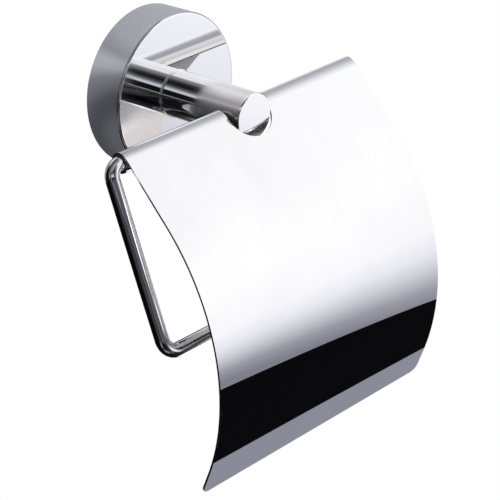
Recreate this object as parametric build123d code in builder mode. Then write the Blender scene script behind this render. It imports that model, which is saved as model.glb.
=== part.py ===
import os
from math import cos, radians, sin

from build123d import *

# flange cup, open to the wall
flange_diameter = 60
flange_depth = 16
flange_wall = 2
flange_edge_chamfer = 0.9

# wall bracket inside the cup
bracket_slip = 0.3
bracket_thickness = 8
bracket_relief_radius = 10
bracket_hole_radius = 2.25
bracket_hole_spacing = 38
bracket_sink_radius = 4.5
bracket_sink_angle = 90
groove_mouth = 5.2
groove_floor = 1.4
groove_depth = 2

# cup grub screw, M4 with a truncated cone point
cup_grub_radius = 2
cup_grub_recess = 0.3
cup_grub_cone = 1.7
cup_grub_tip = 0.5
cup_grub_socket = 2
cup_grub_socket_depth = 1.6
thread_fit = 0.02

# post and the ring at its root
post_diameter = 17.3
post_nose = 7.1
post_edge_chamfer = 0.35
ring_diameter = 18
ring_thickness = 0.7

# screw that draws the post on to the cup, M6
post_screw_radius = 3
post_screw_grip = 12
post_screw_passage = 0.2
post_screw_head_radius = 5.25
post_screw_head_height = 3.3
post_screw_head_chamfer = 1
post_screw_socket = 4
post_screw_socket_depth = 2
tapped_run_out = 2
washer_radius = 5.8
washer_thickness = 1.4

# roll arm, one bent wire
wire_diameter = 5.2
arm_fit = 0.03
arm_leg_outset = 5.1
arm_bend_radius = 4.6
arm_drop = 67
arm_tilt = 20
arm_pivot_end_inset = 1
arm_free_end_inset = 3
arm_pivot_end_chamfer = 0.5
arm_free_end_radius = 2.2

# arm grub screw, M5 with a flat point
arm_grub_radius = 2.5
arm_grub_recess = 0.5
arm_grub_socket = 2.5
arm_grub_socket_depth = 2.4
arm_grub_land = 0.01

# lid, one rolled sheet
hinge_reach = 46.6
hinge_running_clearance = 0.05
liner_wall = 0.3
liner_seat = 0.01
lid_sheet = 0.8
lid_width = 120
lid_start_angle = 48
lid_upper_flat = 27
lid_bow_radius = 85
lid_bow_angle = 65
lid_lower_flat = 10
lid_corner_radius = 3
curl_angle = 290
notch_side_clearance = 1.65
notch_centre_run = 1.2

flange_radius = flange_diameter / 2
cup_inner_radius = flange_radius - flange_wall
cup_inner_depth = flange_depth - flange_wall
bracket_radius = cup_inner_radius - bracket_slip
post_radius = post_diameter / 2
post_root = flange_depth + ring_thickness
post_reach = hinge_reach + post_nose
wire_radius = wire_diameter / 2
liner_inner_radius = wire_radius + hinge_running_clearance
liner_outer_radius = liner_inner_radius + liner_wall
curl_inner_radius = liner_outer_radius + liner_seat
curl_outer_radius = curl_inner_radius + lid_sheet
curl_mid_radius = curl_inner_radius + lid_sheet / 2
lid_edge = lid_width / 2
notch_radius = post_radius + notch_side_clearance
grub_line = bracket_thickness / 2

os.makedirs("parts", exist_ok=True)

# bracket: a disc with a grub groove round its rim and two countersunk holes
with BuildPart() as wall_bracket:
    with BuildSketch(Plane.XZ):
        Circle(bracket_radius)
        Circle(bracket_relief_radius, mode=Mode.SUBTRACT)
    extrude(amount=bracket_thickness)
    with BuildSketch(Plane.XY) as groove:
        with BuildLine():
            groove_bed = bracket_radius - groove_depth
            Polyline(
                (bracket_radius, -grub_line - groove_mouth / 2),
                (groove_bed, -grub_line - groove_floor / 2),
                (groove_bed, -grub_line + groove_floor / 2),
                (bracket_radius, -grub_line + groove_mouth / 2),
                close=True,
            )
        make_face()
    revolve(axis=Axis.Y, mode=Mode.SUBTRACT)
    with Locations(Plane.XZ.offset(bracket_thickness)):
        with GridLocations(bracket_hole_spacing, 0, 2, 1):
            CounterSinkHole(bracket_hole_radius, bracket_sink_radius, bracket_thickness, bracket_sink_angle)
wall_bracket.part.label = "wall_bracket"
export_step(wall_bracket.part, "parts/wall_bracket.step")

# cup: chamfered front edge, centre hole for the post screw, tapped hole below
with BuildPart() as flange_cup:
    with BuildSketch(Plane.XZ):
        Circle(flange_radius)
    extrude(amount=flange_depth)
    front_edge = flange_cup.edges().filter_by(GeomType.CIRCLE).sort_by(Axis.Y)[0]
    chamfer(front_edge, flange_edge_chamfer)
    with BuildSketch(Plane.XZ):
        Circle(cup_inner_radius)
    extrude(amount=cup_inner_depth, mode=Mode.SUBTRACT)
    with BuildSketch(Plane.XZ):
        Circle(post_screw_radius + post_screw_passage)
    extrude(amount=flange_depth, mode=Mode.SUBTRACT)
    with BuildSketch(Plane.XY):
        with Locations((0, -grub_line)):
            Circle(cup_grub_radius + thread_fit)
    extrude(amount=-flange_radius, mode=Mode.SUBTRACT)
flange_cup.part.label = "flange_cup"
export_step(flange_cup.part, "parts/flange_cup.step")

with BuildPart() as cup_grub_screw:
    grub_outer = flange_radius - cup_grub_recess
    grub_shoulder = bracket_radius - groove_depth + cup_grub_cone
    with BuildSketch(Plane.XY.offset(-grub_outer)):
        with Locations((0, -grub_line)):
            Circle(cup_grub_radius)
    extrude(amount=grub_outer - grub_shoulder)
    with BuildSketch(Plane.XY.offset(-grub_shoulder)):
        with Locations((0, -grub_line)):
            Circle(cup_grub_radius)
    with BuildSketch(Plane.XY.offset(-grub_shoulder + cup_grub_cone)):
        with Locations((0, -grub_line)):
            Circle(cup_grub_tip)
    loft()
    with BuildSketch(Plane.XY.offset(-grub_outer)):
        with Locations((0, -grub_line)):
            RegularPolygon(cup_grub_socket / 2, 6, major_radius=False)
    extrude(amount=cup_grub_socket_depth, mode=Mode.SUBTRACT)
cup_grub_screw.part.label = "cup_grub_screw"
export_step(cup_grub_screw.part, "parts/cup_grub_screw.step")

with BuildPart() as post_ring:
    with BuildSketch(Plane.XZ.offset(flange_depth)):
        Circle(ring_diameter / 2)
        Circle(post_screw_radius + post_screw_passage, mode=Mode.SUBTRACT)
    extrude(amount=ring_thickness)
post_ring.part.label = "post_ring"
export_step(post_ring.part, "parts/post_ring.step")

# post: tapped at the root, cross-bored for the wire, tapped below the bore
with BuildPart() as post:
    with BuildSketch(Plane.XZ.offset(post_root)):
        Circle(post_radius)
    extrude(amount=post_reach - post_root)
    post_end_edge = post.edges().filter_by(GeomType.CIRCLE).sort_by(Axis.Y)[0]
    chamfer(post_end_edge, post_edge_chamfer)
    with BuildSketch(Plane.XZ.offset(post_root)):
        Circle(post_screw_radius + thread_fit)
    extrude(amount=post_screw_grip + tapped_run_out, mode=Mode.SUBTRACT)
    with BuildSketch(Plane.YZ):
        with Locations((-hinge_reach, 0)):
            Circle(wire_radius + arm_fit)
    extrude(amount=post_radius, both=True, mode=Mode.SUBTRACT)
    with BuildSketch(Plane.XY):
        with Locations((0, -hinge_reach)):
            Circle(arm_grub_radius + thread_fit)
    extrude(amount=-post_radius, mode=Mode.SUBTRACT)
post.part.label = "post"
export_step(post.part, "parts/post.step")

with BuildPart() as post_washer:
    with BuildSketch(Plane.XZ.offset(cup_inner_depth - washer_thickness)):
        Circle(washer_radius)
        Circle(post_screw_radius + post_screw_passage, mode=Mode.SUBTRACT)
    extrude(amount=washer_thickness)
post_washer.part.label = "post_washer"
export_step(post_washer.part, "parts/post_washer.step")

with BuildPart() as post_screw:
    head_seat = cup_inner_depth - washer_thickness
    head_top = head_seat - post_screw_head_height
    with BuildSketch(Plane.XZ.offset(head_top)):
        Circle(post_screw_head_radius)
    extrude(amount=post_screw_head_height)
    head_rim = post_screw.edges().filter_by(GeomType.CIRCLE).sort_by(Axis.Y)[-1]
    chamfer(head_rim, post_screw_head_chamfer)
    with BuildSketch(Plane.XZ.offset(head_seat)):
        Circle(post_screw_radius)
    extrude(amount=post_root + post_screw_grip - head_seat)
    with BuildSketch(Plane.XZ.offset(head_top)):
        RegularPolygon(post_screw_socket / 2, 6, major_radius=False)
    extrude(amount=post_screw_socket_depth, mode=Mode.SUBTRACT)
post_screw.part.label = "post_screw"
export_step(post_screw.part, "parts/post_screw.step")

# roll arm: pivot rod through the post, tilted leg, free rod for the roll
arm_leg_line = -lid_edge - arm_leg_outset
rod_reach = hinge_reach + arm_drop * sin(radians(arm_tilt))
rod_height = -arm_drop * cos(radians(arm_tilt))
with BuildPart() as roll_arm:
    with BuildLine() as arm_path:
        FilletPolyline(
            (lid_edge - arm_pivot_end_inset, -hinge_reach, 0),
            (arm_leg_line, -hinge_reach, 0),
            (arm_leg_line, -rod_reach, rod_height),
            (lid_edge - arm_free_end_inset, -rod_reach, rod_height),
            radius=arm_bend_radius,
        )
    with BuildSketch(Plane(arm_path.wire() @ 0, z_dir=arm_path.wire() % 0)):
        Circle(wire_radius)
    sweep()
    end_faces = roll_arm.faces().filter_by(GeomType.PLANE).sort_by(Axis.Z)
    fillet(end_faces[0].edges(), arm_free_end_radius)
    chamfer(end_faces[-1].edges(), arm_pivot_end_chamfer)
roll_arm.part.label = "roll_arm"
export_step(roll_arm.part, "parts/roll_arm.step")

with BuildPart() as arm_grub_screw:
    arm_grub_head = post_radius - arm_grub_recess
    with BuildSketch(Plane.XY.offset(-arm_grub_head)):
        with Locations((0, -hinge_reach)):
            Circle(arm_grub_radius)
    extrude(amount=arm_grub_head - wire_radius - arm_grub_land)
    with BuildSketch(Plane.XY.offset(-arm_grub_head)):
        with Locations((0, -hinge_reach)):
            RegularPolygon(arm_grub_socket / 2, 6, major_radius=False)
    extrude(amount=arm_grub_socket_depth, mode=Mode.SUBTRACT)
arm_grub_screw.part.label = "arm_grub_screw"
export_step(arm_grub_screw.part, "parts/arm_grub_screw.step")

# lid: one sheet section from the curl round the pivot rod down to the lower edge
lid_run = (-cos(radians(lid_start_angle)), -sin(radians(lid_start_angle)))
lid_out = (-sin(radians(lid_start_angle)), cos(radians(lid_start_angle)))
curl_tangent = (-hinge_reach + curl_mid_radius * lid_out[0], curl_mid_radius * lid_out[1])
with BuildPart() as lid:
    with BuildSketch(Plane.YZ):
        with BuildLine():
            upper_flat = PolarLine(curl_tangent, lid_upper_flat, direction=lid_run)
            bow = JernArc(upper_flat @ 1, lid_run, lid_bow_radius - lid_sheet / 2, lid_bow_angle)
            PolarLine(bow @ 1, lid_lower_flat, direction=bow % 1)
            JernArc(curl_tangent, (-lid_run[0], -lid_run[1]), curl_mid_radius, -curl_angle)
        trace(line_width=lid_sheet)
    extrude(amount=lid_edge, both=True)
    lower_edge = lid.faces().sort_by(Axis.Z)[0]
    fillet(lower_edge.edges().filter_by(Axis.X, reverse=True), lid_corner_radius)
    notch_plane = Plane((0, -hinge_reach, 0), x_dir=(1, 0, 0), z_dir=(0, lid_out[0], lid_out[1]))
    with BuildSketch(notch_plane):
        with Locations((0, -notch_centre_run)):
            Circle(notch_radius)
            Rectangle(2 * notch_radius, notch_radius, align=(Align.CENTER, Align.MIN))
    extrude(amount=notch_radius, both=True, mode=Mode.SUBTRACT)
lid.part.label = "lid"
export_step(lid.part, "parts/lid.step")

# thin liners between the pivot rod and the two curls
with BuildPart() as left_hinge_liner:
    with BuildSketch(Plane.YZ.offset(-lid_edge)):
        with Locations((-hinge_reach, 0)):
            Circle(liner_outer_radius)
            Circle(liner_inner_radius, mode=Mode.SUBTRACT)
    extrude(amount=lid_edge - notch_radius)
left_hinge_liner.part.label = "left_hinge_liner"
export_step(left_hinge_liner.part, "parts/left_hinge_liner.step")

with BuildPart() as right_hinge_liner:
    with BuildSketch(Plane.YZ.offset(notch_radius)):
        with Locations((-hinge_reach, 0)):
            Circle(liner_outer_radius)
            Circle(liner_inner_radius, mode=Mode.SUBTRACT)
    extrude(amount=lid_edge - notch_radius)
right_hinge_liner.part.label = "right_hinge_liner"
export_step(right_hinge_liner.part, "parts/right_hinge_liner.step")
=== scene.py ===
import bpy
from math import cos, pi, radians, sin
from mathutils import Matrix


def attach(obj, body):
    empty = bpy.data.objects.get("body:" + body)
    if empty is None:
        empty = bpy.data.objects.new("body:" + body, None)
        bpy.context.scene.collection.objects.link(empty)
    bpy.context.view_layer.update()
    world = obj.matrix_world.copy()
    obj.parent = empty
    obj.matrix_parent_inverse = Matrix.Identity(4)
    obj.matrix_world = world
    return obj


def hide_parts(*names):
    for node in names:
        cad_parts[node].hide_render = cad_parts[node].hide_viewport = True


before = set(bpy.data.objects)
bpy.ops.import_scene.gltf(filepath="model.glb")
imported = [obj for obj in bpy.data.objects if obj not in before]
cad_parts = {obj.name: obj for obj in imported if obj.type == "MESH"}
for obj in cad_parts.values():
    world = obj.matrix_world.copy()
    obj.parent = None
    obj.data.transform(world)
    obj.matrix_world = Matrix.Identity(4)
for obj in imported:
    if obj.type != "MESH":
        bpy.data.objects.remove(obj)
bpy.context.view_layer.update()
scene = bpy.context.scene
scene.view_settings.view_transform = "Standard"
print("frame loaded:", len(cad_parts), "nodes")

# sizes are in metres, angles in the dictionaries in degrees
hingeLine = -0.0466  # Y of the pivot rod, which the post, the arm and the lid share
mergeGap = 0.000002  # vertices closer than this become one
nearby = 0.00001  # how close counts as on a line where vertices are picked by their place
sharpAngle = radians(30)  # edges that turn more than this are broken, and shaded as edges
drillFacets = 64


# small helpers

def hexColour(code):
    channels = [int(code[i:i + 2], 16) / 255 for i in (1, 3, 5)]
    linear = [c / 12.92 if c <= 0.04045 else ((c + 0.055) / 1.055) ** 2.4 for c in channels]
    return (*linear, 1.0)


def addNode(tree, kind, inputs=None, stops=None, **settings):
    node = tree.nodes.new(kind)
    for key, value in settings.items():
        setattr(node, key, value)
    for key, value in (inputs or {}).items():
        if isinstance(value, bpy.types.NodeSocket):
            tree.links.new(value, node.inputs[key])
        else:
            node.inputs[key].default_value = value
    if stops:  # the ramp's own two elements take the ends, new ones go between
        ramp = node.color_ramp
        for element, (place, code) in zip(ramp.elements, (stops[0], stops[-1])):
            element.position = place
            element.color = hexColour(code)
        for place, code in stops[1:-1]:
            ramp.elements.new(place).color = hexColour(code)
    return node


def newMaterial(name):
    material = bpy.data.materials.new(name)
    material.use_nodes = True
    material.node_tree.nodes.clear()
    return material, material.node_tree


def deselectAll():
    if bpy.context.mode != "OBJECT":
        bpy.ops.object.mode_set(mode="OBJECT")
    bpy.ops.object.select_all(action="DESELECT")


def activeOnly(piece):
    deselectAll()
    piece.select_set(True)
    bpy.context.view_layer.objects.active = piece


def startVertex(name, place):
    # a plane merged to one vertex, the start of a drawn profile
    deselectAll()
    bpy.ops.mesh.primitive_plane_add(size=0.001)
    piece = bpy.context.active_object
    piece.name = name
    bpy.ops.object.mode_set(mode="EDIT")
    bpy.ops.mesh.select_all(action="SELECT")
    bpy.ops.mesh.merge(type="CENTER")
    bpy.ops.transform.translate(value=place)
    return piece


def extrudeBy(step):
    bpy.ops.mesh.extrude_region_move(TRANSFORM_OT_translate={"value": step})


def cleanMesh():
    bpy.ops.mesh.select_all(action="SELECT")
    bpy.ops.mesh.remove_doubles(threshold=mergeGap)
    bpy.ops.mesh.normals_make_consistent(inside=False)


def selectWhere(piece, test):
    bpy.ops.mesh.select_mode(type="VERT")
    bpy.ops.mesh.select_all(action="DESELECT")
    bpy.ops.object.mode_set(mode="OBJECT")
    for vertex in piece.data.vertices:
        vertex.select = test(vertex.co)
    bpy.ops.object.mode_set(mode="EDIT")


def latheProfile(name, outline, steps):
    # outline holds (radius, Y) points of a closed profile, spun round the Y axis
    radius, depth = outline[0]
    piece = startVertex(name, (radius, depth, 0))
    for nextRadius, nextDepth in outline[1:] + outline[:1]:
        extrudeBy((nextRadius - radius, nextDepth - depth, 0))
        radius, depth = nextRadius, nextDepth
    bpy.ops.mesh.select_all(action="SELECT")
    bpy.ops.mesh.remove_doubles(threshold=mergeGap)
    bpy.ops.mesh.spin(steps=steps, angle=2 * pi, center=(0, 0, 0), axis=(0, 1, 0))
    cleanMesh()
    bpy.ops.object.mode_set(mode="OBJECT")
    return piece


def applyModifier(piece, kind, **settings):
    activeOnly(piece)
    modifier = piece.modifiers.new(kind.title(), kind)
    for key, value in settings.items():
        setattr(modifier, key, value)
    bpy.ops.object.modifier_apply(modifier=modifier.name)


def drillCutter(radius, depth, place, turn):
    deselectAll()
    bpy.ops.mesh.primitive_cylinder_add(vertices=drillFacets, radius=radius, depth=depth,
                                        location=place, rotation=turn)
    return bpy.context.active_object


def cutWith(piece, cutter):
    applyModifier(piece, "BOOLEAN", operation="DIFFERENCE", object=cutter, solver="EXACT")
    bpy.data.objects.remove(cutter)


def breakEdges(piece, width, segments=2):
    applyModifier(piece, "BEVEL", width=width, segments=segments, limit_method="ANGLE",
                  angle_limit=sharpAngle)


def finishPiece(piece, material, body, node):
    activeOnly(piece)
    bpy.ops.object.transform_apply(location=True, rotation=True, scale=True)
    bpy.ops.object.shade_smooth_by_angle(angle=sharpAngle)
    applyModifier(piece, "WEIGHTED_NORMAL", weight=80, keep_sharp=True)  # flats stay flat by their bevels
    if not piece.data.materials:
        piece.data.materials.append(material)
    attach(piece, body)
    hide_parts(node)
    print("piece ready:", piece.name, len(piece.data.polygons), "faces")


# materials

def polishedChrome(name, tints, smearSize, rough, waveDepth):
    # bright chrome over polished metal: a clear mirror, a little cool, with faint cloudy wiping marks
    # and a slight waviness that bends straight reflections
    waveSize = 0.018
    material, tree = newMaterial(name)
    place = addNode(tree, "ShaderNodeTexCoord")
    smear = addNode(tree, "ShaderNodeTexNoise", {"Vector": place.outputs["Object"],
                                                 "Scale": 1 / smearSize, "Detail": 4.0})
    tint = addNode(tree, "ShaderNodeValToRGB", {"Fac": smear.outputs["Fac"]},
                   stops=[(0.35, tints[0]), (0.65, tints[1])])
    gloss = addNode(tree, "ShaderNodeMapRange", {"Value": smear.outputs["Fac"],
                                                 "From Min": 0.35, "From Max": 0.7,
                                                 "To Min": rough[0], "To Max": rough[1]})
    wave = addNode(tree, "ShaderNodeTexNoise", {"Vector": place.outputs["Object"],
                                                "Scale": 1 / waveSize, "Detail": 1.0})
    bump = addNode(tree, "ShaderNodeBump", {"Height": wave.outputs["Fac"], "Strength": 1.0,
                                            "Distance": waveDepth})
    metal = addNode(tree, "ShaderNodeBsdfPrincipled", {"Base Color": tint.outputs["Color"], "Metallic": 1.0,
                                                       "Roughness": gloss.outputs["Result"],
                                                       "Normal": bump.outputs["Normal"]})
    addNode(tree, "ShaderNodeOutputMaterial", {"Surface": metal.outputs["BSDF"]})
    return material


def barChrome(name, root, end):
    # chrome over a turned bar: a clear mirror at the root and on the end face, and a softer polish
    # along the nose, which blurs what stands close to it
    smearSize = 0.012
    material, tree = newMaterial(name)
    place = addNode(tree, "ShaderNodeTexCoord")
    axes = addNode(tree, "ShaderNodeSeparateXYZ", {"Vector": place.outputs["Object"]})
    smear = addNode(tree, "ShaderNodeTexNoise", {"Vector": place.outputs["Object"],
                                                 "Scale": 1 / smearSize, "Detail": 4.0})
    cloud = addNode(tree, "ShaderNodeValToRGB", {"Fac": smear.outputs["Fac"]},
                    stops=[(0.35, "#e9eaec"), (0.65, "#f0f1f3")])
    run = addNode(tree, "ShaderNodeMapRange", {"Value": axes.outputs["Y"],
                                               "From Min": root, "From Max": end})
    # the end face takes a whiter tint than the rest of the bar: a painted highlight
    endFaceHighlight = addNode(tree, "ShaderNodeMapRange", {"Value": run.outputs["Result"],
                                                   "From Min": 0.985, "From Max": 0.995})
    tint = addNode(tree, "ShaderNodeMix", {"Factor": endFaceHighlight.outputs["Result"], "A": cloud.outputs["Color"],
                                           "B": hexColour("#fffffc")}, data_type="RGBA")
    rough = addNode(tree, "ShaderNodeValToRGB", {"Fac": run.outputs["Result"]},
                    stops=[(0.0, "#2c2c2c"), (0.3, "#323232"), (0.5, "#808080"), (0.96, "#787878"),
                           (0.985, "#3c3c3c")])
    metal = addNode(tree, "ShaderNodeBsdfPrincipled", {"Base Color": tint.outputs["Result"], "Metallic": 1.0,
                                                       "Roughness": rough.outputs["Color"]})
    addNode(tree, "ShaderNodeOutputMaterial", {"Surface": metal.outputs["BSDF"]})
    return material


def turnedChrome(name, faceRadius):
    # chrome over a turned cup: mirror on the faced front, satin round the rim where fine lathe rings
    # were left under the plating, so that the rim shows only a soft grey sweep of the room
    ringSize = 0.0004  # lathe rings are near 0.1 mm, drawn at 0.4 mm to show
    faceFade = 0.0002
    faceRough, rimRough, ringRough = 0.03, 0.12, 0.1
    material, tree = newMaterial(name)
    place = addNode(tree, "ShaderNodeTexCoord")
    axes = addNode(tree, "ShaderNodeSeparateXYZ", {"Vector": place.outputs["Object"]})
    flat = addNode(tree, "ShaderNodeVectorMath", {0: place.outputs["Object"], 1: (1, 0, 1)},
                   operation="MULTIPLY")
    reach = addNode(tree, "ShaderNodeVectorMath", {0: flat.outputs["Vector"]}, operation="LENGTH")
    rim = addNode(tree, "ShaderNodeMapRange", {"Value": reach.outputs["Value"], "From Min": faceRadius,
                                               "From Max": faceRadius + faceFade})
    rings = addNode(tree, "ShaderNodeTexNoise", {"W": axes.outputs["Y"], "Scale": 1 / ringSize,
                                                 "Detail": 2.0}, noise_dimensions="1D")
    grain = addNode(tree, "ShaderNodeMath", {0: rings.outputs["Fac"], 1: rim.outputs["Result"]},
                    operation="MULTIPLY")
    rough = addNode(tree, "ShaderNodeMath", {0: rim.outputs["Result"], 1: rimRough, 2: faceRough},
                    operation="MULTIPLY_ADD")
    satin = addNode(tree, "ShaderNodeMath", {0: grain.outputs[0], 1: ringRough, 2: rough.outputs[0]},
                    operation="MULTIPLY_ADD")
    # the rim's tint, darker and cooler than the face's, is painted shade
    tint = addNode(tree, "ShaderNodeValToRGB", {"Fac": rim.outputs["Result"]},
                   stops=[(0.0, "#eeeff1"), (1.0, "#e0e3e7")])
    bump = addNode(tree, "ShaderNodeBump", {"Height": grain.outputs[0], "Strength": 0.3, "Distance": 0.00002})
    metal = addNode(tree, "ShaderNodeBsdfPrincipled", {"Base Color": tint.outputs["Color"], "Metallic": 1.0,
                                                       "Roughness": satin.outputs[0],
                                                       "Normal": bump.outputs["Normal"]})
    addNode(tree, "ShaderNodeOutputMaterial", {"Surface": metal.outputs["BSDF"]})
    return material


def dullMetal(name, tints, sandSize, roughness):
    # unpolished metal, mostly seen from behind: even grey with a fine sandy grain,
    # which is near 0.2 mm and is drawn coarser to show
    material, tree = newMaterial(name)
    place = addNode(tree, "ShaderNodeTexCoord")
    sand = addNode(tree, "ShaderNodeTexNoise", {"Vector": place.outputs["Object"],
                                                "Scale": 1 / sandSize, "Detail": 5.0})
    tint = addNode(tree, "ShaderNodeValToRGB", {"Fac": sand.outputs["Fac"]},
                   stops=[(0.35, tints[0]), (0.65, tints[1])])
    bump = addNode(tree, "ShaderNodeBump", {"Height": sand.outputs["Fac"], "Strength": 0.15,
                                            "Distance": 0.0001})
    metal = addNode(tree, "ShaderNodeBsdfPrincipled", {"Base Color": tint.outputs["Color"], "Metallic": 1.0,
                                                       "Roughness": roughness,
                                                       "Normal": bump.outputs["Normal"]})
    addNode(tree, "ShaderNodeOutputMaterial", {"Surface": metal.outputs["BSDF"]})
    return material


def sheetInside(name):
    # plated sheet that nobody polished through: bright by the curl and towards the free edge, where the
    # buffing wheel reached, and a soft satin between
    sandSize = 0.0008  # marks of the wheel's grit are near 0.1 mm, drawn at 0.8 mm to show
    reach = 0.1  # the ramp below runs this far down from the hinge
    material, tree = newMaterial(name)
    place = addNode(tree, "ShaderNodeTexCoord")
    axes = addNode(tree, "ShaderNodeSeparateXYZ", {"Vector": place.outputs["Object"]})
    sand = addNode(tree, "ShaderNodeTexNoise", {"Vector": place.outputs["Object"],
                                                "Scale": 1 / sandSize, "Detail": 5.0})
    tint = addNode(tree, "ShaderNodeValToRGB", {"Fac": sand.outputs["Fac"]},
                   stops=[(0.35, "#dcd9d9"), (0.65, "#e6e4e3")])
    drop = addNode(tree, "ShaderNodeMapRange", {"Value": axes.outputs["Z"],
                                                "From Min": 0.0, "From Max": -reach})
    rough = addNode(tree, "ShaderNodeValToRGB", {"Fac": drop.outputs["Result"]},
                    stops=[(0.09, "#787878"), (0.14, "#aeaeae"), (0.3, "#aeaeae"), (0.45, "#626262")])
    metal = addNode(tree, "ShaderNodeBsdfPrincipled", {"Base Color": tint.outputs["Color"], "Metallic": 1.0,
                                                       "Roughness": rough.outputs["Color"]})
    addNode(tree, "ShaderNodeOutputMaterial", {"Surface": metal.outputs["BSDF"]})
    return material


def shadedNylon(name):
    # nylon tube in a blotchy dark grey, which is painted shade for the inside of the curl's end, with a soft
    # gloss
    patchSize = 0.004
    material, tree = newMaterial(name)
    place = addNode(tree, "ShaderNodeTexCoord")
    patch = addNode(tree, "ShaderNodeTexNoise", {"Vector": place.outputs["Object"],
                                                 "Scale": 1 / patchSize, "Detail": 3.0})
    shadeTone = addNode(tree, "ShaderNodeValToRGB", {"Fac": patch.outputs["Fac"]},
                   stops=[(0.3, "#454549"), (0.7, "#57575b")])
    resin = addNode(tree, "ShaderNodeBsdfPrincipled", {"Base Color": shadeTone.outputs["Color"],
                                                       "Roughness": 0.45, "IOR": 1.53})
    addNode(tree, "ShaderNodeOutputMaterial", {"Surface": resin.outputs["BSDF"]})
    return material


lidChrome = polishedChrome("chromeOnRolledSheet", ("#f0f0f1", "#f4f4f5"), smearSize=0.035,
                           rough=(0.012, 0.03), waveDepth=0.000004)
wireChrome = polishedChrome("chromeOnDrawnWire", ("#dcdde1", "#e6e7ea"), smearSize=0.008,
                            rough=(0.05, 0.09), waveDepth=0.000001)
# zinc as the mould left it, screws under a brighter zinc plating, and wire coloured dark as painted shade for
# the pivot under the lid
castZinc = dullMetal("dieCastZinc", ("#8d8f92", "#a2a4a8"), sandSize=0.0012, roughness=0.45)
platedSteel = dullMetal("zincPlatedSteel", ("#9a9ca2", "#b3b5ba"), sandSize=0.0006, roughness=0.32)
shadedPivotWire = dullMetal("shadedPivotDrawnWire", ("#5c5a58", "#6c6a68"), sandSize=0.002, roughness=0.4)
lidInside = sheetInside("platedSheetInside")
linerNylon = shadedNylon("shadedNylonTube")
print("materials ready")


# flange cup

cupSizes = {"radius": 0.030, "depth": 0.016, "wall": 0.002, "screwHole": 0.0032, "steps": 192,
            "edgeRound": 0.0009, "edgeBreak": 0.00012, "polishedTo": 0.0297,
            "grubHole": 0.00202, "grubLine": -0.004, "grubDrill": 0.006, "grubDrillHeight": -0.029,
            "grubRows": (-0.0014, -0.0066)}  # edges each side of the hole keep its cut off the long faces

cupChrome = turnedChrome("chromeOnTurnedCup", cupSizes["polishedTo"])
cupOuter = cupSizes["radius"]
cupInner = cupOuter - cupSizes["wall"]
cupFront = -cupSizes["depth"]
cupFloor = cupFront + cupSizes["wall"]
backRow, frontRow = cupSizes["grubRows"]
flangeCup = latheProfile("flangeCupShell", [
    (cupSizes["screwHole"], cupFloor), (cupInner, cupFloor), (cupInner, frontRow), (cupInner, backRow),
    (cupInner, 0), (cupOuter, 0), (cupOuter, backRow), (cupOuter, frontRow), (cupOuter, cupFront),
    (cupSizes["screwHole"], cupFront)], cupSizes["steps"])
bpy.ops.object.mode_set(mode="EDIT")
selectWhere(flangeCup, lambda co: co.y < cupFront + nearby and co.xz.length > cupOuter - nearby)
bpy.ops.mesh.bevel(offset=cupSizes["edgeRound"], segments=8)
bpy.ops.object.mode_set(mode="OBJECT")
grubPlace = (0, cupSizes["grubLine"], cupSizes["grubDrillHeight"])
offTheEdges = (0, 0, pi / drillFacets)  # half a facet round, clear of the cup's own edge lines
cutWith(flangeCup, drillCutter(cupSizes["grubHole"], cupSizes["grubDrill"], grubPlace, offTheEdges))
breakEdges(flangeCup, cupSizes["edgeBreak"])
finishPiece(flangeCup, cupChrome, "holder", "flange_cup")


# post

postSizes = {"radius": 0.00865, "root": -0.0167, "end": -0.0537, "edge": 0.00035, "edgeBreak": 0.00008,
             "steps": 160, "tapped": 0.00302, "tappedEnd": -0.0307, "bore": 0.00263, "boreDrill": 0.03,
             "boreRows": (-0.042, -0.0512), "grub": 0.00252, "grubDrill": 0.012, "grubDrillHeight": -0.006}

postChrome = barChrome("chromeOnTurnedBar", postSizes["root"], postSizes["end"])
postOuter = postSizes["radius"]
postRoot = postSizes["root"]
postEnd = postSizes["end"]
rootRow, endRow = postSizes["boreRows"]
post = latheProfile("postBar", [
    (0, postSizes["tappedEnd"]), (postSizes["tapped"], postSizes["tappedEnd"]),
    (postSizes["tapped"], postRoot), (postOuter, postRoot), (postOuter, rootRow), (postOuter, endRow),
    (postOuter, postEnd + postSizes["edge"]), (postOuter - postSizes["edge"], postEnd), (0, postEnd)],
    postSizes["steps"])
cutWith(post, drillCutter(postSizes["bore"], postSizes["boreDrill"], (0, hingeLine, 0), (0, pi / 2, 0)))
grubPlace = (0, hingeLine, postSizes["grubDrillHeight"])
cutWith(post, drillCutter(postSizes["grub"], postSizes["grubDrill"], grubPlace, (0, 0, 0)))
breakEdges(post, postSizes["edgeBreak"])
finishPiece(post, postChrome, "holder", "post")


# ring at the post's root, with a fine groove where it meets the post

ringSizes = {"radius": 0.009, "back": -0.016, "bore": 0.0032, "groove": 0.00025, "grooveRadius": 0.0083,
             "edgeBreak": 0.00006, "steps": 160}

grooveBack = postRoot + ringSizes["groove"]
postRing = latheProfile("postRootRing", [
    (ringSizes["bore"], ringSizes["back"]), (ringSizes["radius"], ringSizes["back"]),
    (ringSizes["radius"], grooveBack), (ringSizes["grooveRadius"], grooveBack),
    (ringSizes["grooveRadius"], postRoot), (ringSizes["bore"], postRoot)], ringSizes["steps"])
breakEdges(postRing, ringSizes["edgeBreak"])
finishPiece(postRing, postChrome, "holder", "post_ring")


# roll arm: a wire ring drawn along the pivot rod, round two bends and out along the free rod

armSizes = {"wire": 0.0026, "facets": 64, "pivotEnd": 0.059, "freeEnd": 0.057, "leg": -0.0651,
            "bend": 0.0046, "lowerBend": 0.0057, "bendSteps": 20, "drop": 0.067, "tilt": 20,
            "freeRound": 0.0022, "pivotRound": 0.0005}

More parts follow.
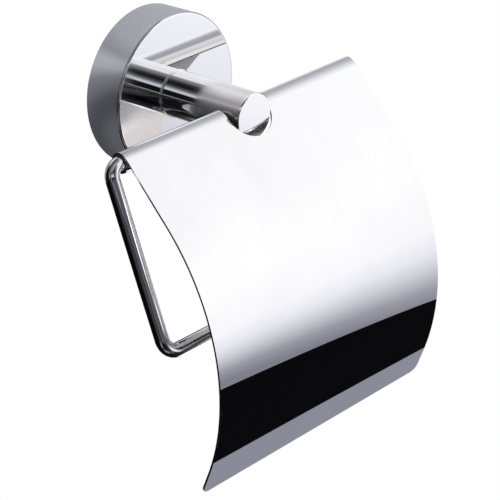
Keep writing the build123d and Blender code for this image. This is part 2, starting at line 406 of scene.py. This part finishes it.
tilt = radians(armSizes["tilt"])
legRun = (0, -sin(tilt), -cos(tilt))
bendSide = (0, -legRun[2], legRun[1])  # square to the bends' plane
bend = armSizes["bend"]
lowerBend = armSizes["lowerBend"]
rodPlace = [armSizes["drop"] * part for part in legRun]
rodPlace[1] += hingeLine
deselectAll()
bpy.ops.mesh.primitive_circle_add(vertices=armSizes["facets"], radius=armSizes["wire"], fill_type="NOTHING",
                                  location=(armSizes["pivotEnd"], hingeLine, 0), rotation=(0, pi / 2, 0))
rollArm = bpy.context.active_object
rollArm.name = "rollArmWire"
bpy.ops.object.transform_apply(location=True, rotation=True, scale=True)
bpy.ops.object.mode_set(mode="EDIT")
bpy.ops.mesh.select_all(action="SELECT")
extrudeBy((armSizes["leg"] + bend - armSizes["pivotEnd"], 0, 0))
bendCentre = (armSizes["leg"] + bend, hingeLine + bend * legRun[1], bend * legRun[2])
bpy.ops.mesh.spin(steps=armSizes["bendSteps"], angle=pi / 2, axis=bendSide, center=bendCentre)
legLength = armSizes["drop"] - bend - lowerBend
extrudeBy([legLength * part for part in legRun])
bendCentre = (armSizes["leg"] + lowerBend, rodPlace[1] - lowerBend * legRun[1],
              rodPlace[2] - lowerBend * legRun[2])
bpy.ops.mesh.spin(steps=armSizes["bendSteps"], angle=pi / 2, axis=bendSide, center=bendCentre)
extrudeBy((armSizes["freeEnd"] - armSizes["leg"] - lowerBend, 0, 0))
bpy.ops.mesh.edge_face_add()
bpy.ops.mesh.bevel(offset=armSizes["freeRound"], segments=8)
selectWhere(rollArm, lambda co: abs(co.x - armSizes["pivotEnd"]) < nearby)
bpy.ops.mesh.edge_face_add()
bpy.ops.mesh.bevel(offset=armSizes["pivotRound"], segments=3)
cleanMesh()
bpy.ops.object.mode_set(mode="OBJECT")
rollArm.data.materials.append(wireChrome)
rollArm.data.materials.append(shadedPivotWire)
for face in rollArm.data.polygons:  # the pivot under the lid is coloured dark: painted shade
    if face.center.z > -armSizes["wire"] and face.center.x > armSizes["leg"] + bend:
        face.material_index = 1
finishPiece(rollArm, wireChrome, "holder", "roll_arm")


# lid: the sheet's section is drawn from the curl's free end, then pulled across its width

lidSizes = {"edge": 0.060, "sheet": 0.0008, "curl": 0.00336, "curlAngle": 290, "curlSteps": 72,
            "lead": 0.010, "leadAngle": 14, "leadSteps": 10, "start": 48, "upperFlat": 0.027,
            "bow": 0.0846, "bowAngle": 65, "bowSteps": 96, "lowerFlat": 0.010, "corner": 0.003,
            "notch": 0.0103, "notchRun": 0.0012, "notchFacets": 128, "edgeBreak": 0.0002}

curl = lidSizes["curl"]
start = radians(lidSizes["start"])
lead = radians(lidSizes["leadAngle"])
curlAngle = radians(lidSizes["curlAngle"])
bowAngle = radians(lidSizes["bowAngle"])
acrossLid = (-1, 0, 0)
curlEnd = pi / 2 + start - curlAngle
lid = startVertex("lidSheet", (-lidSizes["edge"], hingeLine + curl * cos(curlEnd), curl * sin(curlEnd)))
bpy.ops.mesh.spin(steps=lidSizes["curlSteps"], angle=curlAngle - lead, center=(0, hingeLine, 0),
                  axis=acrossLid)

# the sheet eases into the curl
leadGap = lidSizes["lead"] - curl
leadCentre = (0, hingeLine + leadGap * sin(start - lead), -leadGap * cos(start - lead))
bpy.ops.mesh.spin(steps=lidSizes["leadSteps"], angle=lead, center=leadCentre, axis=acrossLid)

# upper flat, bow and lower flat
flatRun = lidSizes["upperFlat"] - leadGap * sin(lead)
extrudeBy((0, -flatRun * cos(start), -flatRun * sin(start)))
flatEnd = (leadCentre[1] - lidSizes["lead"] * sin(start) - flatRun * cos(start),
           leadCentre[2] + lidSizes["lead"] * cos(start) - flatRun * sin(start))
bowCentre = (0, flatEnd[0] + lidSizes["bow"] * sin(start), flatEnd[1] - lidSizes["bow"] * cos(start))
bpy.ops.mesh.spin(steps=lidSizes["bowSteps"], angle=bowAngle, center=bowCentre, axis=acrossLid)
lowerRun = start + bowAngle
extrudeBy((0, -lidSizes["lowerFlat"] * cos(lowerRun), -lidSizes["lowerFlat"] * sin(lowerRun)))
bpy.ops.mesh.select_all(action="SELECT")
extrudeBy((2 * lidSizes["edge"], 0, 0))
cleanMesh()
bpy.ops.object.mode_set(mode="OBJECT")

# rounded lower corners, then the sheet's thickness with its duller inside
lowest = min(vertex.co.z for vertex in lid.data.vertices)
bpy.ops.object.mode_set(mode="EDIT")
selectWhere(lid, lambda co: co.z < lowest + nearby)
bpy.ops.mesh.bevel(offset=lidSizes["corner"], segments=8, affect="VERTICES")
bpy.ops.object.mode_set(mode="OBJECT")
lid.data.materials.append(lidChrome)
lid.data.materials.append(lidInside)
applyModifier(lid, "SOLIDIFY", thickness=lidSizes["sheet"], offset=0, use_even_offset=True, material_offset=1)

# round notch that clears the post, open towards the wall
deselectAll()
bpy.ops.mesh.primitive_cylinder_add(vertices=lidSizes["notchFacets"], radius=lidSizes["notch"],
                                    depth=2 * lidSizes["notch"], location=(0, 0, 0))
notchCutter = bpy.context.active_object
bpy.ops.object.mode_set(mode="EDIT")
selectWhere(notchCutter, lambda co: co.y > nearby)
bpy.ops.transform.translate(value=(0, lidSizes["notch"], 0))
bpy.ops.object.mode_set(mode="OBJECT")
notchCutter.rotation_euler = (start, 0, 0)
notchCutter.location = (0, hingeLine - lidSizes["notchRun"] * cos(start), -lidSizes["notchRun"] * sin(start))
bpy.context.view_layer.update()
cutWith(lid, notchCutter)
breakEdges(lid, lidSizes["edgeBreak"], segments=3)
finishPiece(lid, lidChrome, "lid", "lid")


# CAD nodes whose shape stays, dressed in their own metals and nylon

nodeMaterials = {"wall_bracket": castZinc, "cup_grub_screw": platedSteel, "post_washer": platedSteel,
                 "post_screw": platedSteel, "arm_grub_screw": platedSteel,
                 "left_hinge_liner": linerNylon, "right_hinge_liner": linerNylon}

for nodeName, material in nodeMaterials.items():
    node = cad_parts[nodeName]
    node.data.materials.clear()
    node.data.materials.append(material)
print("CAD nodes dressed:", len(nodeMaterials))


# studio: white surround, pale floor, and cards that only the polish sees

rightward = (1, 0, 0)
toWall = (0, 1, 0)
upward = (0, 0, 1)
acrossRoom = (0.772, -0.636, 0)  # level, from the far left to the near right


def uprightCard(start, end, low, high):
    # corners of a card that stands over the line from start to end, both (X, Y)
    return [(*start, low), (*end, low), (*end, high), (*start, high)]


def sideCard(right, *points):
    # corners of a card at one X, from its (Y, Z) points
    return [(right, *point) for point in points]


def levelCard(left, right, front, back, height):
    return [(left, front, height), (right, front, height), (right, back, height), (left, back, height)]


def glowCard(name, corners, along, stops, strength=1.0, melts=()):
    # corners go round the card, along is the fade's direction, stops are (metres along it, colour)
    # melts are (direction, clear at, solid at): edges where the card thins out to nothing
    deselectAll()
    bpy.ops.mesh.primitive_circle_add(vertices=len(corners), fill_type="NGON")
    card = bpy.context.active_object
    card.name = name
    for vertex, corner in zip(card.data.vertices, corners):
        vertex.co = corner
    material, tree = newMaterial(name + "Paper")
    place = addNode(tree, "ShaderNodeTexCoord")
    run = addNode(tree, "ShaderNodeVectorMath", {0: place.outputs["Object"], 1: along},
                  operation="DOT_PRODUCT")
    first, last = stops[0][0], stops[-1][0]
    part = addNode(tree, "ShaderNodeMapRange", {"Value": run.outputs["Value"],
                                                "From Min": first, "From Max": last})
    fade = addNode(tree, "ShaderNodeValToRGB", {"Fac": part.outputs["Result"]},
                   stops=[((metres - first) / (last - first), code) for metres, code in stops])
    glow = addNode(tree, "ShaderNodeEmission", {"Color": fade.outputs["Color"], "Strength": strength})
    surface = glow.outputs["Emission"]
    for direction, clear, solid in melts:
        reach = addNode(tree, "ShaderNodeVectorMath", {0: place.outputs["Object"], 1: direction},
                        operation="DOT_PRODUCT")
        body = addNode(tree, "ShaderNodeMapRange", {"Value": reach.outputs["Value"],
                                                    "From Min": clear, "From Max": solid},
                       interpolation_type="SMOOTHSTEP")
        gap = addNode(tree, "ShaderNodeBsdfTransparent")
        edge = addNode(tree, "ShaderNodeMixShader", {"Fac": body.outputs["Result"],
                                                     1: gap.outputs["BSDF"], 2: surface})
        surface = edge.outputs["Shader"]
    addNode(tree, "ShaderNodeOutputMaterial", {"Surface": surface})
    card.data.materials.append(material)
    card.visible_camera = False
    card.visible_diffuse = False
    card.visible_shadow = False
    card.visible_transmission = False


# right of the object: a white panel fading to grey at its foot, plain paper low down, a black flag over
# that, grey paper at the top towards the wall, and a small grey card level with the flange
glowCard("rightPanel", uprightCard((0.3, -0.72), (0.3, 0.06), -0.62, 0.62), (0, -0.05, 1),
         [(-0.27, "#7e7e8a"), (-0.23, "#9898a2"), (-0.18, "#cacad2"), (-0.14, "#e4e4ec"),
          (-0.08, "#f5f5f8"), (0.06, "#fbfbfb"), (0.16, "#fbfbfb"), (0.22, "#f9f9fa"),
          (0.33, "#f4f4f7")], strength=1.15)
glowCard("lowPaper", sideCard(0.299, (-0.5, -0.72), (0.25, -0.72), (0.25, -0.1444), (-0.5, -0.3304)),
         toWall, [(-0.05, "#7f818d"), (-0.02, "#e6e0df")], strength=1.3)
glowCard("blackFlag", sideCard(0.297, (-0.72, -0.72), (-0.2366, -0.72), (-0.0701, -0.2238), (-0.72, -0.385)),
         toWall, [(-0.7, "#0a0a0c"), (0, "#0c0c0e")])
glowCard("crownPaper", sideCard(0.296, (-0.1, 0.1016), (0.14, 0.1016), (0.14, 0.6), (-0.45, 0.5226)),
         (0, 1, 0.2),
         [(-0.18, "#f4f4f7"), (-0.15, "#f0f0f3"), (-0.12, "#e8e8ec"), (-0.09, "#dcdce1"),
          (-0.065, "#ceced4"), (-0.04, "#c1c1c8"), (-0.01, "#b7b7be"), (0.05, "#afafb5"),
          (0.12, "#a8a8ae"), (0.22, "#a4a4aa")], strength=1.15)
glowCard("edgePaper", uprightCard((0.295, -0.09), (0.295, 0.06), -0.13, 0.13), toWall,
         [(-0.09, "#6c6c72"), (0.06, "#808086")])

# camera side: the dark of the room, paler towards the white panel, with one lamp over the camera
glowCard("roomCloth", uprightCard((-1.2, 0.3), (0.5, -1.1), -0.72, 1.3), acrossRoom,
         [(-1.1, "#0c0c0d"), (-0.2, "#121214"), (0.09, "#18181a"), (0.24, "#252427"),
          (0.35, "#454346"), (0.54, "#868286"), (0.83, "#98969a"), (1.05, "#f8f8f9")])
glowCard("lampStrip", uprightCard((-0.474, -0.2576), (-0.162, -0.5144), 0.2, 0.46), upward,
         [(0.2, "#202023"), (0.22, "#dadce0"), (0.26, "#e4e6ea"), (0.31, "#9fa2a7"),
          (0.37, "#585d61"), (0.46, "#2a2a2e")])

# the room's own dim glow at the object's height, one thin bright line in it, and a strip light beside
# the panel that draws the upper half of the stripe on the arm's leg
glowCard("roomGlow", uprightCard((-0.364, -0.38), (0.004, -0.683), -0.12, 0.18), acrossRoom,
         [(-0.04, "#646469"), (0.12, "#626267"), (0.3, "#56565b"), (0.43, "#3a3a3e")],
         melts=[(upward, -0.12, -0.04), (upward, 0.18, 0.11), (acrossRoom, 0.435, 0.36)])
glowCard("sideGlow", uprightCard((-0.76, -0.06), (-0.43, -0.332), -0.18, 0.05), acrossRoom,
         [(-0.55, "#28282b"), (-0.36, "#37373b"), (-0.2, "#4a4a4f"), (-0.12, "#56565b")],
         melts=[(upward, -0.18, -0.11), (upward, 0.05, 0.01)])
glowCard("thinLine", uprightCard((-0.44, -0.32), (-0.35, -0.394), 0.031, 0.043), upward,
         [(0.031, "#d8d8dc"), (0.043, "#d8d8dc")],
         melts=[(upward, 0.031, 0.034), (upward, 0.043, 0.040)])
glowCard("sideStrip", uprightCard((-0.02, -0.69), (0.253, -0.569), 0.04, 0.09), acrossRoom,
         [(0.42, "#909094"), (0.5, "#ffffff")], strength=2.6,
         melts=[(upward, 0.045, 0.065), (acrossRoom, 0.42, 0.46)])

# soft fills that the photograph's own view hardly meets: they keep the lid from going black in others
glowCard("sideFill", uprightCard((-0.6151, -0.1804), (-0.4144, -0.3457), -0.5, 0.3), upward,
         [(-0.5, "#8e8e94"), (0.3, "#76767c")],
         melts=[(upward, -0.5, -0.35), (upward, 0.3, 0.2), (acrossRoom, -0.36, -0.28),
                (acrossRoom, -0.1, -0.18)])
glowCard("leftFill", uprightCard((-1.097, 0.241), (-0.403, -0.331), 0.06, 1.2), acrossRoom,
         [(-0.95, "#e0e0e4"), (-0.6, "#b8b8be"), (-0.2, "#4c4c50")],
         melts=[(upward, 0.06, 0.3), (acrossRoom, -0.15, -0.5)])
glowCard("highFill", uprightCard((-0.634, -0.141), (-0.248, -0.459), 0.4, 0.9), upward,
         [(0.4, "#8e8e94"), (0.9, "#b4b4ba")],
         melts=[(upward, 0.4, 0.56), (acrossRoom, 0.1, 0.0), (acrossRoom, -0.4, -0.25)])
glowCard("lowFill", uprightCard((-0.492, -0.235), (-0.1, -0.558), -0.71, -0.3), upward,
         [(-0.7, "#a8a8ae"), (-0.3, "#707076")],
         melts=[(upward, -0.3, -0.55), (acrossRoom, -0.23, -0.1), (acrossRoom, 0.27, 0.12)])

# behind: a wall pale to the upper right and dim to the lower left, and a dark card just behind the object
glowCard("backWall", uprightCard((-2.6, 0.6), (1.6, 0.6), -0.74, 1.4), (1, 0, 0.6),
         [(-1.4, "#161416"), (-0.95, "#3c3a3c"), (-0.75, "#525052"), (-0.6, "#626062"),
          (-0.45, "#716e71"), (-0.38, "#8a878a"), (-0.23, "#bab8bb"), (-0.12, "#a29fa2"),
          (0.07, "#a29fa2"), (0.2, "#b8b5b7"), (0.39, "#d4d1d2"), (0.5, "#dedbdc"),
          (0.63, "#ececee"), (0.8, "#f4f4f6"), (0.9, "#e6e6e9"), (1.1, "#bcbcc2"), (1.3, "#b4b4ba")])
glowCard("nearShade", uprightCard((-0.6, 0.002), (0.07, 0.002), -0.72, -0.028), rightward,
         [(-0.6, "#0c0b0c"), (-0.1, "#080808"), (-0.03, "#202022"), (0.07, "#363639")])

# two lights that reach the wire by way of the lid's inside: the rest of the leg's stripe and the lower bend
glowCard("wallGlow", uprightCard((-0.06, 0.0015), (0.045, 0.0015), -0.125, -0.075), upward,
         [(-0.125, "#ffffff"), (-0.075, "#ffffff")], strength=1.9,
         melts=[(upward, -0.125, -0.1), (upward, -0.075, -0.1), (rightward, -0.06, -0.02),
                (rightward, 0.045, 0.005)])
glowCard("cornerGlow", uprightCard((0.2985, -0.02), (0.2985, 0.13), -0.58, -0.35), upward,
         [(-0.58, "#ffffff"), (-0.35, "#ffffff")], strength=3.0,
         melts=[(upward, -0.352, -0.375), (toWall, -0.018, 0.02)])

# what the cup's rim sees round itself: dim on the left and above, a grey sweep close by
glowCard("leftShade", uprightCard((-0.6, 0.0022), (-0.085, 0.0022), -0.03, 0.5), rightward,
         [(-0.6, "#1c1c1f"), (-0.085, "#161618")])
glowCard("topShade", uprightCard((-0.6, 0.0018), (0.03, 0.0018), 0.08, 0.5), rightward,
         [(-0.6, "#3c3c40"), (0.03, "#56565b")])
rimShade = {"radius": 0.049, "corners": 32, "place": 0.0015}
cornerTurns = [turn * 2 * pi / rimShade["corners"] for turn in range(rimShade["corners"])]
glowCard("rimShade", [(rimShade["radius"] * cos(turn), rimShade["place"], rimShade["radius"] * sin(turn))
                      for turn in cornerTurns], (1, 0, 1),
         [(-0.056, "#646468"), (-0.045, "#505054"), (-0.037, "#58585c"), (-0.028, "#76767a"),
          (-0.02, "#88888c"), (-0.012, "#b8b9be"), (-0.006, "#bebfc4"), (0.002, "#9c9ca0"),
          (0.015, "#b2b2b6"), (0.047, "#b8babf")])

# overhead: dim, a little lighter over the camera
glowCard("ceilingCloth", levelCard(-1.2, 0.3, -0.52, 0.3, 0.62), toWall,
         [(-0.5, "#b8b8be"), (-0.3, "#a8a8ae"), (0, "#68686e")], melts=[(toWall, -0.52, -0.4)])

# under the camera side: shaded floor cloth
glowCard("underCloth", levelCard(-1.2, 0.28, -1.1, 0.3, -0.7), toWall,
         [(-0.3, "#0c0c0d"), (0.3, "#1c1b1d")])


def lookedAt(tree):
    # 1 for the camera, a mirror or glass that looks straight at it, 0 for the light it sheds on the object
    ray = addNode(tree, "ShaderNodeLightPath")
    direct = addNode(tree, "ShaderNodeMath", {0: ray.outputs["Is Camera Ray"],
                                              1: ray.outputs["Is Glossy Ray"]}, operation="MAXIMUM")
    seen = addNode(tree, "ShaderNodeMath", {0: direct.outputs[0], 1: ray.outputs["Is Transmission Ray"]},
                   operation="MAXIMUM")
    return seen.outputs[0]


# pale floor, far enough below to stay plain
floorSizes = {"side": 8, "height": -0.75}

floorPaper, tree = newMaterial("paleFloorPaper")
matt = addNode(tree, "ShaderNodeBsdfDiffuse", {"Color": hexColour("#f2f2f2")})
white = addNode(tree, "ShaderNodeEmission", {"Color": hexColour("#ffffff"), "Strength": 1.0})
mix = addNode(tree, "ShaderNodeMixShader", {"Fac": lookedAt(tree), 1: matt.outputs["BSDF"],
                                            2: white.outputs["Emission"]})
addNode(tree, "ShaderNodeOutputMaterial", {"Surface": mix.outputs["Shader"]})
deselectAll()
bpy.ops.mesh.primitive_plane_add(size=floorSizes["side"], location=(0, 0, floorSizes["height"]))
floor = bpy.context.active_object
floor.name = "paleFloor"
floor.data.materials.append(floorPaper)

# white surround, which gives the object less light than it shows
world = bpy.data.worlds.new("whiteSurround")
scene.world = world
world.use_nodes = True
tree = world.node_tree
tree.nodes.clear()
level = addNode(tree, "ShaderNodeMapRange", {"Value": lookedAt(tree), "To Min": 0.6, "To Max": 1.0})
surround = addNode(tree, "ShaderNodeBackground", {"Color": hexColour("#ffffff"),
                                                  "Strength": level.outputs["Result"]})
addNode(tree, "ShaderNodeOutputWorld", {"Surface": surround.outputs["Background"]})

lightSetup = {"place": (0.35, -0.55, 0.75), "turn": (40, 18, 0), "energy": 6, "size": 0.6}

deselectAll()
bpy.ops.object.light_add(type="AREA", location=lightSetup["place"],
                         rotation=[radians(a) for a in lightSetup["turn"]])
softLight = bpy.context.active_object
softLight.name = "softLight"
softLight.data.energy = lightSetup["energy"]
softLight.data.size = lightSetup["size"]
softLight.visible_glossy = False
print("studio ready")


# camera from the photograph's own view

cameraSetup = {"place": (-0.54087, -0.54800, 0.28585), "turn": (65.263, 1.569, -48.061), "lens": 160.54,
               "sensor": 36, "nearest": 0.01}

bpy.ops.object.camera_add(location=cameraSetup["place"], rotation=[radians(a) for a in cameraSetup["turn"]])
camera = bpy.context.active_object
camera.data.lens = cameraSetup["lens"]
camera.data.sensor_width = cameraSetup["sensor"]
camera.data.clip_start = cameraSetup["nearest"]
scene.camera = camera
print("camera ready")
